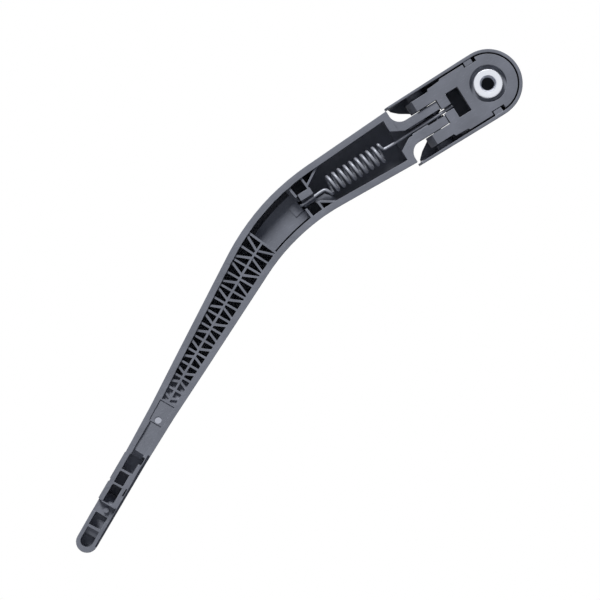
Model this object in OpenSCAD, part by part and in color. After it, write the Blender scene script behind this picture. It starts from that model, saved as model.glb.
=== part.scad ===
// Rear window wiper arm: head with spindle insert, hinged cover, sprung arm.
// Millimetres. Origin: centre of the spindle bore on the glass side of the head.
// +X runs from the spindle to the arm, +Z points away from the glass.

/* [Head] */
// Radius of the round end of the head
head_r = 13.7; // [12.5:0.1:15]
// Thickness of the head plate
head_t = 9.5; // [8.5:0.1:10.5]
// Distance from the spindle to the hinge axis
hinge_x = 31.1; // [29:0.1:36]
// Height of the hinge axis above the glass side of the head
hinge_z = 8.5; // [8:0.1:9.5]
// Thickness of each hinge lug
lug_t = 5.2; // [4:0.1:6]
// Radius of the round lug ends
lug_r = 6.5; // [5.8:0.1:6.8]
// Thickness of the bar that carries the spring anchor pin
bar_t = 5; // [4.6:0.1:6]
// Length of the moulded slot in front of the bar
slot_len = 6.5; // [4.5:0.1:7]
// Width of the moulded slot
slot_w = 12.6; // [8:0.1:14]

/* [Insert] */
// Outer diameter of the knurled insert
insert_d = 13.4; // [12:0.1:15]
// Number of knurl teeth
knurl_n = 40; // [30:1:50]
// Depth of the knurl teeth
knurl_depth = 0.35; // [0.2:0.05:0.5]
// Mouth diameter of the spindle taper
taper_d = 8; // [7.5:0.1:9]
// Diameter of the stud hole
stud_hole_d = 6.2; // [5.2:0.1:6.8]
// Depth of the spindle taper
taper_len = 5; // [3:0.1:6]
// Width of the ring groove in the head around the insert
groove_w = 1.9; // [1:0.1:2.5]
// Depth of that ring groove
groove_depth = 2.6; // [1:0.1:4]

/* [Hinge] */
// Diameter of the hinge pins
hinge_pin_d = 4; // [3:0.1:5]
// Diameter of the spring anchor pin
anchor_pin_d = 2.6; // [2:0.1:2.8]
// Running clearance between a pin and its bore, on the radius
run_gap = 0.05; // [0.03:0.01:0.09]
// Side clearance between neck and lugs
side_gap = 0.4; // [0.2:0.05:0.6]

/* [Cover] */
// Wall thickness of the cover
cover_wall = 1.5; // [1.2:0.1:2]
// Gap between the head and the cover
cover_gap = 0.7; // [0.5:0.05:1]
// Radius of the rounded top edge of the cover
cover_edge_r = 4; // [2.5:0.1:6]
// Reach of the cover's side walls past the hinge axis
cover_reach = 15.4; // [14:0.1:15.4]
// Radius of the ears that turn on the hinge pins
ear_r = 4.2; // [3.6:0.1:4.8]
// Length of the snap tabs
tab_len = 4.1; // [3:0.1:6]

/* [Arm] */
// Gap between the cover's rear ends and the front of the arm
arm_front_gap = 0.1; // [0.1:0.05:1]
// Width of the arm at its front
arm_front_w = 27.6; // [24:0.1:27.8]
// Width of the arm at its tip
arm_tip_w = 10.2; // [9.6:0.1:12]
// Width of the neck between the lugs
neck_w = 11.8; // [10.5:0.1:12.6]
// Width of the spring slot in the neck
neck_slot_w = 3.8; // [3.4:0.1:5]
// Radius of the knuckle on the neck
knuckle_r = 8.5; // [7.6:0.1:8.6]
// Side wall thickness of the arm
arm_wall = 3.1; // [2.6:0.1:3.4]
// Roof thickness of the arm
roof_t = 1.6; // [1.2:0.1:2]
// Straight length of the arm before its bend
front_len = 41.8; // [36:0.1:50]
// Radius of the bend along the middle of the arm
bend_r = 105; // [90:1:130]
// Angle of the bend
bend_angle = 27.9; // [15:0.1:35]
// Straight length after the bend, up to the centre of the round tip
lower_len = 147.3; // [146:0.1:160]
// Drop of the underside from the head to the tip
tip_drop = 8; // [0:0.1:12]
// Height of the arm at its tip
tip_h = 6.8; // [6:0.1:9]
// Number of bays in the rib lattice
bay_n = 13; // [7:1:13]
// Length of one bay
bay_len = 6.55; // [5:0.05:6.6]
// Thickness of the lattice ribs
rib_t = 1.1; // [0.8:0.05:1.5]

/* [Spring] */
// Wire diameter
wire_d = 1.6; // [1.2:0.05:1.7]
// Outer diameter of the coil
coil_d = 9.8; // [8.5:0.1:10.2]
// Distance between two turns
coil_pitch = 3.09; // [2.6:0.01:3.1]
// Number of turns
coil_turns = 9.4; // [6.4:1:9.4]

/* [Hidden] */

grey_plastic = "#6f7279";
bright_steel = "#dfe3ea";
spring_steel = "#b9bcc4";
dark_steel = "#4d5058";
round_steps = 64;
far = 60;
cut = 1;

// Hinge and head, worked out from the sizes above
press_gap = 0.01;
stop_gap = 0.3;
tongue_r = lug_r - 0.1;
pocket_x = hinge_x - tongue_r - stop_gap;
bar_x = pocket_x - bar_t;
slot_x = bar_x - slot_len;
lug_in = neck_w / 2 + side_gap;
lug_out = lug_in + lug_t;
waist_x = hinge_x - 12.9;
shoulder_x = hinge_x - 5.9;
lug_flat_x = hinge_x + 3.4;
wire_slot_w = wire_d + 0.7;
anchor_x = bar_x + bar_t / 2;
anchor_z = 4.5;
anchor_len = 2 * lug_in - 2;

// Cover, worked out from the head
cover_r_in = head_r + cover_gap;
cover_r = cover_r_in + cover_wall;
cover_in_z = hinge_z + lug_r + 0.4;
cover_top_z = cover_in_z + cover_wall;
cover_end_x = hinge_x + cover_reach;
cover_taper = 0.5;
taper_start_x = 6;
top_reach = cover_reach - 0.3;
notch_w = neck_w + 1.2;
notch_x = hinge_x - knuckle_r - 0.3;
notch_corner_r = 2;
tab_x = 0.8;
tab_t = 2.2;
tab_gap = 0.6;
tab_slide = 1.1;
tab_tip_y = head_r - 1.8;

// Arm, worked out from the hinge and the cover
arm_x = cover_end_x + arm_front_gap;
arm_y = 0.3;
neck_bottom_z = 0.8;
neck_top_z = hinge_z + 4.7;
knuckle_end = 115;
slot_roof_z = neck_top_z - 1.3;
arm_top_z = cover_top_z + 0.2;
flare_r = 5.6;
shoulder_inset = 0.15;
front_wall = 3.5;
tip_r = arm_tip_w / 2;
bend_s = front_len;
bend_len = bend_r * bend_angle * PI / 180;
lower_s = bend_s + bend_len;
tip_s = lower_s + lower_len;
drop_s = 40;
side_share = 0.4;
crown_power = 0.55;
crown_steps = 12;
tip_steps = 6;
station_step = 5;

// Spring, worked out from the hinge and the arm
wire_r = wire_d / 2;
coil_r = (coil_d - wire_d) / 2;
coil_z = coil_d / 2 + 0.4;
loop_r = anchor_pin_d / 2 + run_gap + wire_r;
coil_x = arm_x + 11.3;
coil_y = -0.9;
knee_x = coil_x - 1.6;
coil_end_x = coil_x + coil_turns * coil_pitch;
rear_knee_x = coil_end_x + 2.9;
bridge_x = coil_end_x + 8.05;
bridge_len = 6.6;
bridge_end_x = bridge_x + bridge_len;
hook_z = 4;
hook_y = -2;
hook_r = 1.6;
hook_leg = 2.2;
hook_x = bridge_end_x + 0.2 + wire_r;
wire_sides = 8;
turn_steps = 20;

// Lattice and tip, measured along the middle of the arm
lattice_end_s = tip_s - 73.8;
lattice_s = lattice_end_s - bay_n * bay_len;
rib_recess = 0.8;

// Points on a circle from one angle to another
function arc_points(centre, r, from, to, steps) =
    [for (i = [0 : steps]) let (a = from + (to - from) * i / steps) centre + r * [cos(a), sin(a)]];

// Mirror image of plan points about the X axis, in the opposite order
function mirrored(points) = [for (i = [len(points) - 1 : -1 : 0]) [points[i][0], -points[i][1]]];

// Smooth step from 0 to 1
function ease(t) = (1 - cos(180 * min(max(t, 0), 1))) / 2;

// Middle line of the arm in plan: straight, bend, straight
bend_start = [arm_x + front_len, arm_y];
bend_centre = bend_start - [0, bend_r];
bend_end = bend_centre + bend_r * [sin(bend_angle), cos(bend_angle)];
function path_turn(s) = min(max((s - bend_s) / bend_r * 180 / PI, 0), bend_angle);
function path_point(s) =
    s < bend_s ? [arm_x + s, arm_y]
    : s < lower_s ? bend_centre + bend_r * [sin(path_turn(s)), cos(path_turn(s))]
    : bend_end + (s - lower_s) * [cos(bend_angle), -sin(bend_angle)];
function path_side(s) = [sin(path_turn(s)), cos(path_turn(s))];
function on_path(s, n) = path_point(s) + n * path_side(s);

// Distance along the middle line at a given X
function path_s(x) =
    x < bend_start[0] ? x - arm_x
    : x > bend_end[0] ? lower_s + (x - bend_end[0]) / cos(bend_angle)
    : bend_s + bend_r * asin((x - bend_centre[0]) / bend_r) * PI / 180;

// Half width, underside and top of the arm along the middle line
front_half = arm_front_w / 2;
function half_width(s) = lookup(s, [
    [0, front_half],
    [bend_s, front_half - 1.8],
    [bend_s + 0.5 * bend_len, front_half - 2.5],
    [lower_s, front_half - 3.5],
    [lattice_end_s - 20, tip_r + 2.4],
    [lattice_end_s + 5, tip_r + 1],
    [lattice_end_s + 29, tip_r + 0.3],
    [tip_s, tip_r]
]);
function tip_half(s) = s < tip_s ? half_width(s) : sqrt(max(pow(tip_r, 2) - pow(s - tip_s, 2), 0));
function under_z(s) = -tip_drop * ease((s - drop_s) / (tip_s - drop_s));
function top_z(s) = arm_top_z - (arm_top_z + tip_drop - tip_h) * ease(s / (tip_s + tip_r));

// Section of the arm: upright sides, then one crowned curve over the top
function crown(c, power) = sign(c) * pow(abs(c), power);
function section(half, low, high) =
    let (side = low + (high - low) * side_share)
    concat(
        [[half, low]],
        [for (i = [0 : crown_steps]) let (a = 180 * i / crown_steps)
            [half * crown(cos(a), crown_power), side + (high - side) * crown(sin(a), crown_power)]],
        [[-half, low]]
    );

// Stations of the arm, close together round the tip
straight_stations = ceil(tip_s / station_step);
stations = concat(
    [for (i = [0 : straight_stations - 1]) tip_s * i / straight_stations],
    [for (i = [0 : tip_steps]) tip_s + tip_r * sin(85 * i / tip_steps)]
);

// Closed skin through rings that all have the same number of points
module skin(rings) {
    n = len(rings[0]);
    last = len(rings) - 1;
    polyhedron(
        points = [for (ring = rings) each ring],
        faces = concat(
            [[for (j = [0 : n - 1]) j]],
            [for (i = [0 : last - 1], j = [0 : n - 1])
                [i * n + j, (i + 1) * n + j, (i + 1) * n + (j + 1) % n, i * n + (j + 1) % n]],
            [[for (j = [n - 1 : -1 : 0]) last * n + j]]
        )
    );
}

// Solid arm before it is hollowed
module arm_blank() {
    skin([for (s = stations)
        [for (p = section(tip_half(s), under_z(s), top_z(s)))
            [on_path(s, p[0])[0], on_path(s, p[0])[1], p[1]]]]);
}

// Prism through the whole height of the part
module upright() {
    translate([0, 0, -far / 2])
        linear_extrude(height = far)
            children();
}

// Prism across the part, drawn in the X and Z directions
module crosswise(width) {
    translate([0, width / 2, 0])
        rotate([90, 0, 0])
            linear_extrude(height = width)
                children();
}

// Cylinder about a line across the part
module cross_cylinder(x, z, r, from_y, to_y) {
    translate([x, to_y, z])
        rotate([90, 0, 0])
            cylinder(r = r, h = to_y - from_y, $fn = round_steps);
}

// Space below a line that follows the roof or the underside of the arm
module below_line(x1, x2, heights) {
    crosswise(4 * far)
        polygon(concat([[x1, -far]], heights, [[x2, -far]]));
}
profile_steps = 24;
function roof_line(x1, x2, depth) =
    [for (i = [0 : profile_steps]) let (x = x1 + (x2 - x1) * i / profile_steps) [x, top_z(path_s(x)) - depth]];
function rim_line(x1, x2, depth) =
    [for (i = [0 : profile_steps]) let (x = x1 + (x2 - x1) * i / profile_steps) [x, under_z(path_s(x)) + depth]];
module under_roof(x1, x2, depth) {
    below_line(x1, x2, roof_line(x1, x2, depth));
}
module near_rim(x1, x2, depth) {
    below_line(x1, x2, rim_line(x1, x2, depth));
}

// Plan of the inside of the arm between two places on its middle line
module inside_plan(s1, s2, wall = arm_wall) {
    steps = max(ceil((s2 - s1) / station_step), 1);
    along = [for (i = [0 : steps]) s1 + (s2 - s1) * i / steps];
    polygon(concat(
        [for (s = along) on_path(s, half_width(s) - wall)],
        [for (i = [steps : -1 : 0]) on_path(along[i], wall - half_width(along[i]))]
    ));
}

// Plan of one straight rib between two points
module rib(p, q, t = rib_t) {
    d = (q - p) / norm(q - p);
    side = [-d[1], d[0]] * t / 2;
    polygon([p + side, q + side, q - side, p - side]);
}

// Plan of the lattice: cross ribs, one long rib, and a star on every second cross rib
module lattice_ribs() {
    rib(on_path(lattice_s, 0), on_path(lower_s, 0));
    rib(on_path(lower_s - 1, 0), on_path(lattice_end_s, 0));
    for (k = [0 : bay_n]) {
        s = lattice_s + k * bay_len;
        rib(on_path(s, -half_width(s)), on_path(s, half_width(s)));
    }
    for (k = [1 : 2 : bay_n]) {
        s = lattice_s + k * bay_len;
        reach = 0.7 * bay_len;
        for (way = [-1, 1], side = [-1, 1]) {
            foot = s + way * reach;
            if (foot < lattice_end_s)
                rib(on_path(s, 0), on_path(foot, side * (half_width(foot) - arm_wall / 2)));
        }
    }
}

// Pockets of the lattice, open to the glass side
module lattice_pockets() {
    x1 = on_path(lattice_s, 0)[0] - 12;
    x2 = on_path(lattice_end_s, 0)[0] + 8;
    intersection() {
        upright()
            difference() {
                inside_plan(lattice_s, lattice_end_s);
                lattice_ribs();
            }
        under_roof(x1, x2, roof_t);
    }
    intersection() {
        upright()
            inside_plan(lattice_s - rib_t / 2, lattice_end_s + rib_t / 2);
        near_rim(x1, x2, rib_recess);
    }
}

// Spring chamber with the bridge that holds the spring and its ribs
bridge_side = 3;
groove_out = hook_y - 1.6;
groove_in = hook_y + 1.7;
chamber_s = path_s(bridge_end_x + 2.2);
module spring_chamber() {
    x2 = bridge_end_x + 4;
    s_a = path_s(bridge_x + rib_t / 2);
    s_b = path_s(bridge_end_x + rib_t / 2);
    intersection() {
        upright()
            difference() {
                inside_plan(front_wall, chamber_s);
                translate([bridge_x, groove_out])
                    square([bridge_len, bridge_side - groove_out]);
                rib(on_path(s_a, bridge_side - 1), on_path(s_a, half_width(s_a)));
                rib(on_path(s_a, groove_out + 1), on_path(s_a, -half_width(s_a)));
                rib(on_path(s_b, bridge_side), on_path(s_b, half_width(s_b)));
                rib(on_path(s_b, groove_out), on_path(s_b, -half_width(s_b)));
                rib([bridge_x + 1, bridge_side + 1], on_path(s_a - 10.5, half_width(s_a - 10.5) - arm_wall / 2));
                rib([bridge_x + 1, groove_out - 0.4], on_path(s_a - 9.5, arm_wall / 2 - half_width(s_a - 9.5)));
                translate([bridge_end_x + hook_r + wire_d, groove_in])
                    square([2 * cut, bridge_side - groove_in]);
            }
        under_roof(arm_x - 1, x2, roof_t);
    }
    // ribs stop short of the rim, and the bridge has a groove for the spring end
    intersection() {
        upright()
            inside_plan(front_wall, chamber_s);
        near_rim(arm_x - 1, x2, rib_recess);
    }
    translate([bridge_x - cut, groove_out - cut, hook_z + wire_r + 0.1 - far])
        cube([bridge_len + 2 * cut, groove_in - groove_out + cut, far]);
}

// Shallow floor between the spring chamber and the lattice
floor_depth = 6.5;
module middle_pocket() {
    x1 = bridge_end_x - 4;
    x2 = on_path(lattice_s, 0)[0] + 12;
    intersection() {
        upright()
            inside_plan(chamber_s - cut / 2, lattice_s - rib_t / 2);
        near_rim(x1, x2, floor_depth);
    }
}

// Blade end: shallow floor, deep pockets between cross ribs, and the round end pocket
floor_s = lattice_end_s + rib_t / 2;
step_s = lattice_end_s + 10.9;
deep_s = lattice_end_s + 28;
blade_rib_t = 0.7;
blade_rib_1 = lattice_end_s + 37.4;
blade_rib_2 = lattice_end_s + 44.2;
seat_s = lattice_end_s + 54;
seat_len = 5.8;
end_rib_s = lattice_end_s + 66.9;
blade_wall = 2.3;
shallow_depth = 2.2;
dimple_d = 3.2;
module floor_pocket(s1, s2, wall, depth) {
    intersection() {
        upright()
            inside_plan(s1, s2, wall);
        near_rim(on_path(s1, 0)[0] - 8, on_path(s2, 0)[0] + 8, depth);
    }
}
module deep_pocket(s1, s2, wall) {
    intersection() {
        upright()
            inside_plan(s1, s2, wall);
        under_roof(on_path(s1, 0)[0] - 8, on_path(s2, 0)[0] + 8, roof_t);
    }
}
module end_pocket() {
    intersection() {
        upright() {
            inside_plan(end_rib_s + blade_rib_t / 2, tip_s, blade_wall);
            translate(on_path(tip_s, 0))
                circle(r = tip_r - blade_wall, $fn = round_steps);
        }
        under_roof(on_path(end_rib_s, 0)[0] - 8, on_path(tip_s, 0)[0] + 12, roof_t);
    }
}
module blade_end() {
    floor_pocket(floor_s, step_s, arm_wall, shallow_depth);
    floor_pocket(step_s - cut / 4, deep_s + cut, arm_wall, shallow_depth + 0.7);
    deep_pocket(deep_s, blade_rib_1 - blade_rib_t / 2, blade_wall);
    deep_pocket(blade_rib_1 + blade_rib_t / 2, blade_rib_2 - blade_rib_t / 2, blade_wall + 0.6);
    deep_pocket(blade_rib_2 + blade_rib_t / 2, seat_s - 4, blade_wall + 0.6);
    floor_pocket(seat_s - 5, seat_s + cut, blade_wall + 0.6, 3.2);
    deep_pocket(seat_s + seat_len - cut, end_rib_s - blade_rib_t / 2, blade_wall - 0.4);
    end_pocket();
    // seat for the blade clip, open on the outer side of the bend
    intersection() {
        upright()
            polygon([
                on_path(seat_s, blade_wall / 2 - half_width(seat_s)),
                on_path(seat_s + seat_len, blade_wall / 2 - half_width(seat_s)),
                on_path(seat_s + seat_len, tip_r + 2),
                on_path(seat_s, tip_r + 2)
            ]);
        near_rim(on_path(seat_s, 0)[0] - 8, on_path(seat_s, 0)[0] + 14, 2.6);
    }
    // polished dimple left by an ejector pin
    dimple = on_path(lattice_end_s + 8.8, 0);
    translate([dimple[0], dimple[1], under_z(lattice_end_s) + shallow_depth - 1])
        cylinder(d = dimple_d, h = 1.6, $fn = round_steps);
}

// Neck with the knuckle, the tongues and the flared shoulder
module neck_profile() {
    low = asin((neck_top_z - hinge_z) / knuckle_r);
    polygon(concat(
        [[hinge_x - tongue_r, neck_bottom_z], [arm_x + cut, neck_bottom_z], [arm_x + cut, arm_top_z]],
        arc_points([arm_x - 4, neck_top_z + 4], 4, 0, -90, 8),
        arc_points([hinge_x, hinge_z], knuckle_r, low, knuckle_end, 14),
        arc_points([hinge_x, hinge_z], tongue_r, knuckle_end, 180, 10)
    ));
}
module neck_plan() {
    translate([hinge_x - far, -neck_w / 2])
        square([arm_x + far, neck_w]);
    difference() {
        translate([arm_x - flare_r, -neck_w / 2 - flare_r])
            square([flare_r + cut, neck_w + 2 * flare_r]);
        for (side = [-1, 1])
            translate([arm_x - flare_r, side * (neck_w / 2 + flare_r)])
                circle(r = flare_r, $fn = round_steps);
    }
}
module neck_solid() {
    intersection() {
        crosswise(far)
            neck_profile();
        upright()
            neck_plan();
        translate([hinge_x - far, arm_y, 0])
            rotate([90, 0, 90])
                linear_extrude(height = 2 * far)
                    polygon(section(front_half - shoulder_inset, 0, arm_top_z - shoulder_inset));
    }
}
module neck_slot() {
    half = neck_slot_w / 2;
    mouth = neck_w / 2 - 0.3;
    rear = arm_x + front_wall + cut / 2;
    translate([0, 0, slot_roof_z - far])
        linear_extrude(height = far)
            polygon([
                [hinge_x - far / 2, -half], [rear - 6.5, -half], [rear, -mouth],
                [rear, mouth], [rear - 6.5, half], [hinge_x - far / 2, half]
            ]);
}

module arm_body() {
    color(grey_plastic)
        difference() {
            union() {
                difference() {
                    arm_blank();
                    spring_chamber();
                    middle_pocket();
                    lattice_pockets();
                    blade_end();
                }
                neck_solid();
            }
            neck_slot();
            cross_cylinder(hinge_x, hinge_z, hinge_pin_d / 2 + run_gap, -neck_w, neck_w);
        }
}

// Plan and side view of the head
module head_plan() {
    half = head_r - 0.1;
    waist = lug_out + 0.5 * (half - lug_out);
    side = concat(
        arc_points([0, 0], head_r, 180, 97, 16),
        [[0, half], [waist_x, half], [waist_x + 0.5, half - 0.7], [shoulder_x, waist],
         [shoulder_x + 0.5, lug_out], [hinge_x + far, lug_out]]
    );
    difference() {
        polygon(concat(side, mirrored(side)));
        translate([slot_x, -slot_w / 2])
            square([slot_len, slot_w]);
        translate([bar_x - cut, -wire_slot_w / 2])
            square([bar_t + 2 * cut, wire_slot_w]);
        translate([pocket_x, -lug_in])
            square([2 * far, 2 * lug_in]);
        for (side = [-1, 1])
            translate([tab_x - tab_slide - tab_gap, side * head_r - (head_r - tab_tip_y)])
                square([tab_len + tab_slide + 2 * tab_gap, 2 * (head_r - tab_tip_y)]);
    }
}
module head_profile() {
    polygon(concat(
        [[-far, 0], [lug_flat_x, 0]],
        arc_points([hinge_x, hinge_z], lug_r, -20, 170, 20),
        [[hinge_x - lug_r, head_t], [-far, head_t]]
    ));
}
module mounting_head() {
    color(grey_plastic)
        difference() {
            intersection() {
                upright()
                    head_plan();
                crosswise(far)
                    head_profile();
            }
            translate([0, 0, -cut])
                cylinder(d = insert_d + 2 * press_gap, h = head_t + 2 * cut, $fn = round_steps);
            translate([0, 0, -cut])
                cylinder(d = insert_d + 2 * groove_w, h = groove_depth + cut, $fn = round_steps);
            cross_cylinder(hinge_x, hinge_z, hinge_pin_d / 2 + press_gap, -lug_out - cut, lug_out + cut);
            cross_cylinder(anchor_x, anchor_z, anchor_pin_d / 2 + press_gap, -anchor_len / 2, anchor_len / 2);
        }
}

// Knurled steel insert with the spindle taper
module spline_insert() {
    color(bright_steel)
        difference() {
            union() {
                linear_extrude(height = groove_depth)
                    polygon([for (i = [0 : 2 * knurl_n - 1])
                        let (a = 180 * i / knurl_n, r = insert_d / 2 - knurl_depth * (i % 2)) r * [cos(a), sin(a)]]);
                translate([0, 0, groove_depth / 2])
                    cylinder(r = insert_d / 2 - knurl_depth, h = head_t - groove_depth / 2, $fn = round_steps);
                translate([0, 0, groove_depth])
                    cylinder(d = insert_d, h = head_t - groove_depth, $fn = round_steps);
            }
            translate([0, 0, -cut])
                cylinder(d = stud_hole_d, h = head_t + 2 * cut, $fn = round_steps);
            cylinder(d1 = taper_d, d2 = stud_hole_d, h = taper_len, $fn = round_steps);
        }
}

// Pins, each with small chamfers at its ends
module pin(x, z, d, from_y, to_y) {
    chamfer = 0.3;
    translate([x, to_y, z])
        rotate([90, 0, 0])
            rotate_extrude($fn = round_steps)
                polygon([
                    [0, 0], [d / 2 - chamfer, 0], [d / 2, chamfer],
                    [d / 2, to_y - from_y - chamfer], [d / 2 - chamfer, to_y - from_y], [0, to_y - from_y]
                ]);
}
pin_in = neck_slot_w / 2 + 0.4;
pin_out = cover_r_in - 0.5;
module hinge_pin_left() {
    color(bright_steel)
        pin(hinge_x, hinge_z, hinge_pin_d, pin_in, pin_out);
}
module hinge_pin_right() {
    color(bright_steel)
        pin(hinge_x, hinge_z, hinge_pin_d, -pin_out, -pin_in);
}
module anchor_pin() {
    color(dark_steel)
        pin(anchor_x, anchor_z, anchor_pin_d, 0.1 - anchor_len / 2, anchor_len / 2 - 0.1);
}

// Path of the spring wire, from the loop round the anchor pin to the leg behind the bridge
function between(a, b, c, d, steps) = [for (i = [1 : steps - 1]) let (t = i / steps, u = 1 - t)
    u * u * u * a + 3 * u * u * t * b + 3 * u * t * t * c + t * t * t * d];
wire_y = -0.1;
slope = atan((coil_z - anchor_z + loop_r) / (knee_x - anchor_x));
loop_path = [for (a = [60 : 15 : 270]) [anchor_x + loop_r * cos(a), wire_y, anchor_z + loop_r * sin(a)]];
loop_exit = [anchor_x + loop_r * sin(slope), wire_y, anchor_z - loop_r * cos(slope)];
front_knee = [knee_x, coil_y / 2, coil_z - 0.1];
function coil_point(turn) =
    [coil_x + turn * coil_pitch, coil_y + coil_r * cos(360 * turn), coil_z + coil_r * sin(360 * turn)];
coil_path = [for (i = [0 : coil_turns * turn_steps]) coil_point(i / turn_steps)];
coil_last = coil_path[len(coil_path) - 1];
coil_way = coil_last - coil_path[len(coil_path) - 2];
rear_knee = [rear_knee_x, coil_y - 0.4, hook_z];
hook_bend = [for (a = [-90 : 18 : 0]) [hook_x - hook_r + hook_r * cos(a), hook_y, hook_z + hook_r + hook_r * sin(a)]];
hook_end = [hook_x, hook_y, hook_z + hook_r + hook_leg];
spring_path = concat(
    loop_path, [loop_exit],
    [loop_exit + (front_knee - loop_exit) * 0.5, front_knee - [1.2, 0, 0.1]],
    between(front_knee, front_knee + [1.3, 0.6, 0], coil_path[0] - [0.3, 0, 3], coil_path[0], 8),
    coil_path,
    between(coil_last, coil_last + 3 * coil_way, rear_knee - [1.8, 1.2, 0], rear_knee, 8),
    [rear_knee, rear_knee + (hook_bend[0] - rear_knee) * 0.5],
    hook_bend, [hook_end]
);

// Round tube along a path, its rings carried on without twist
function unit(v) = v / norm(v);
function way_at(p, i) = unit(p[min(i + 1, len(p) - 1)] - p[max(i - 1, 0)]);
function carried(n, way) = unit(n - (n * way) * way);
function ring_normals(p) = [
    for (i = 0, n = carried([0, 1, 0], way_at(p, 0)); i < len(p); i = i + 1, n = carried(n, way_at(p, min(i, len(p) - 1)))) n
];
module tube(p, r, sides) {
    normals = ring_normals(p);
    skin([for (i = [0 : len(p) - 1])
        let (n = normals[i], b = cross(way_at(p, i), n))
        [for (k = [0 : sides - 1]) p[i] + r * (n * cos(360 * k / sides) + b * sin(360 * k / sides))]]);
}
module tension_spring() {
    color(spring_steel)
        tube(spring_path, wire_r, wire_sides);
}

// Cover: round front, straight sides, rounded top edge
function cap_section(half, high, edge) = concat(
    [[0, 0], [half, 0]],
    arc_points([half - edge, high - edge], edge, 0, 90, 8),
    [[0, high]]
);
module cap_form(half, high, edge, length) {
    rotate([0, 0, 90])
        rotate_extrude(angle = 180, $fn = round_steps)
            polygon(cap_section(half, high, edge));
    side = cap_section(half, high, edge);
    rotate([90, 0, 90])
        linear_extrude(height = length)
            polygon(concat(side, [for (i = [len(side) - 2 : -1 : 1]) [-side[i][0], side[i][1]]]));
}
module cap_rear_cut() {
    half = notch_w / 2;
    edge = concat(
        arc_points([notch_x + notch_corner_r, half - notch_corner_r], notch_corner_r, 180, 90, 6),
        [[hinge_x + 5, half], [hinge_x + 7.6, half + 1.8], [hinge_x + 10.6, half + 3.7],
         [hinge_x + 13.4, half + 6.3], [cover_end_x - 0.4, cover_r_in], [far, cover_r_in]]
    );
    upright()
        polygon(concat(edge, mirrored(edge)));
    difference() {
        translate([hinge_x, -cover_r_in, -cut])
            cube([far, 2 * cover_r_in, far]);
        cross_cylinder(hinge_x, hinge_z, top_reach, -far, far);
    }
}
module cap_cover() {
    color(grey_plastic)
        difference() {
            union() {
                difference() {
                    cap_form(cover_r, cover_top_z, cover_edge_r, cover_end_x);
                    translate([0, 0, -cut])
                        cap_form(cover_r_in, cover_in_z + cut, cover_edge_r - cover_wall, far);
                }
                for (side = [-1, 1])
                    cap_ear(side);
                for (side = [-1, 1])
                    cap_tab(side);
            }
            cap_rear_cut();
            for (side = [-1, 1])
                cap_side_taper(side);
            cross_cylinder(hinge_x, hinge_z, hinge_pin_d / 2 + run_gap, 0.3 - cover_r_in, cover_r_in - 0.3);
            crosswise(far)
                polygon([[cover_end_x - 2, -cut], [cover_end_x + cut, 4.5], [cover_end_x + cut, -cut]]);
        }
}
module cap_ear(side) {
    inner = lug_out + 0.4;
    outer = cover_r_in + cover_wall / 2;
    cross_cylinder(hinge_x, hinge_z, ear_r, side > 0 ? inner : -outer, side > 0 ? outer : -inner);
}
module cap_tab(side) {
    depth = cover_r_in + cover_wall / 2 - tab_tip_y;
    translate([tab_x, side > 0 ? tab_tip_y + 0.1 : -tab_tip_y - 0.1 - depth, 0.3])
        cube([tab_len, depth, tab_t]);
}
module cap_side_taper(side) {
    edge = [[taper_start_x, cover_r], [cover_end_x + cut, cover_r - cover_taper],
            [cover_end_x + cut, cover_r + cut], [taper_start_x, cover_r + cut]];
    upright()
        polygon(side > 0 ? edge : mirrored(edge));
}

mounting_head();
spline_insert();
hinge_pin_left();
hinge_pin_right();
anchor_pin();
tension_spring();
arm_body();
cap_cover();
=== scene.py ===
# Rear window wiper arm, seen from its glass side: finishes, fine forms of the arm, fine teeth and a studio.
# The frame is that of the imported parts. Lengths are in metres, and those of the arm's forms in millimetres.

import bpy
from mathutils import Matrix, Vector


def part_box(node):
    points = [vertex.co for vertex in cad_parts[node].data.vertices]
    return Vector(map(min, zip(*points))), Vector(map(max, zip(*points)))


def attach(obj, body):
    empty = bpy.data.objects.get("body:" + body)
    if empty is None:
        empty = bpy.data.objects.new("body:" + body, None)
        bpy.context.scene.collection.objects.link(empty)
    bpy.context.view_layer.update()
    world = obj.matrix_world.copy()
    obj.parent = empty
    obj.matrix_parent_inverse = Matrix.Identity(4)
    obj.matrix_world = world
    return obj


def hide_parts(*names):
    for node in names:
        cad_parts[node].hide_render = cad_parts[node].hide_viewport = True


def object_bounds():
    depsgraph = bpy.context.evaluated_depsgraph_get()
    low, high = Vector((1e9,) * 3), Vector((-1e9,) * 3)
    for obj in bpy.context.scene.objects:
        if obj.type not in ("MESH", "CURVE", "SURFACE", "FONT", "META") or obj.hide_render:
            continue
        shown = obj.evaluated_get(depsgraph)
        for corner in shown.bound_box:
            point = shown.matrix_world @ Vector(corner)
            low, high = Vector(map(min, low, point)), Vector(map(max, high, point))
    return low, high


bl_info = {
    "name": "Rear wiper arm",
    "version": (1, 0, 0),
    "blender": (4, 5, 0),
    "location": "View3D > Sidebar > Wiper arm",
    "description": "Dresses the parts of a rear wiper arm, adds fine forms and sets up a plain studio",
    "category": "Add Mesh",
}

import math

import bmesh
import bpy
from mathutils import Matrix, Vector

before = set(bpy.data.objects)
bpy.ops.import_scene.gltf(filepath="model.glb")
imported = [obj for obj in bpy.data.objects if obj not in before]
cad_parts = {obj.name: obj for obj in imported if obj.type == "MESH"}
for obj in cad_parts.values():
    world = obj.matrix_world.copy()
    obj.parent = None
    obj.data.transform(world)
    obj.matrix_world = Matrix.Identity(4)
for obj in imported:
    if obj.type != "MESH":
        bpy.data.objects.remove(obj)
cad_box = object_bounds()
MM = 0.001

# Polished round mark of an ejector pin, near the blade end of the arm: smoother, and painted paler as a
# painted highlight
EJECTOR_MARK = (0.21064, -0.05077, -0.00544)
EJECTOR_MARK_R = 1.6 * MM


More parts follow.
